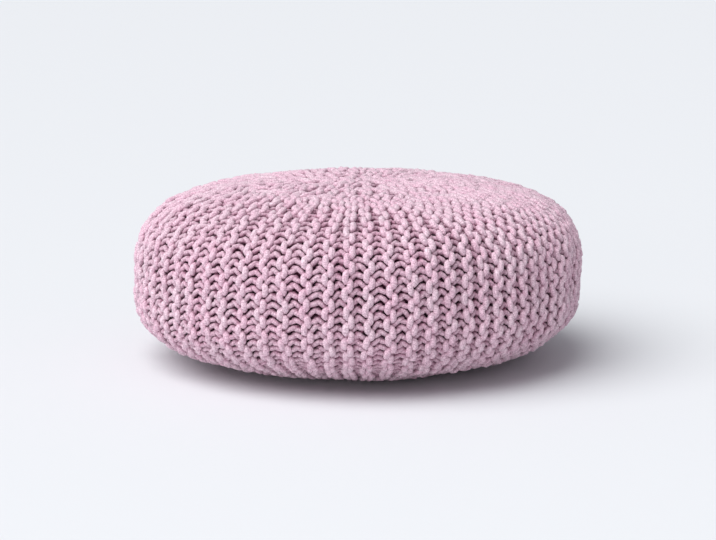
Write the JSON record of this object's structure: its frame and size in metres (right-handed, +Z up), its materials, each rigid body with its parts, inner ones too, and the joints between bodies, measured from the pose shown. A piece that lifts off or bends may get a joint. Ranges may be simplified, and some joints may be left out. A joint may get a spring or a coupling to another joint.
{
  "type": "knitted pouf",
  "caption": "Low round floor pouf: a filled cushion in a thick ribbed knitted cover, drawn together at the middle of its top and underside, flat where it rests.",
  "frame": {"origin": "middle of the underside, on the surface that the pouf rests on", "axes": "+Z up through the gathered middle of the top, -Y towards the side that the picture shows, +X to its right"},
  "size_m": [0.6, 0.6, 0.2399],
  "materials": {
    "yarn": "matte"
  },
  "bodies": {
    "root": {"knitted_pouf": "yarn"}
  },
  "joints": []
}
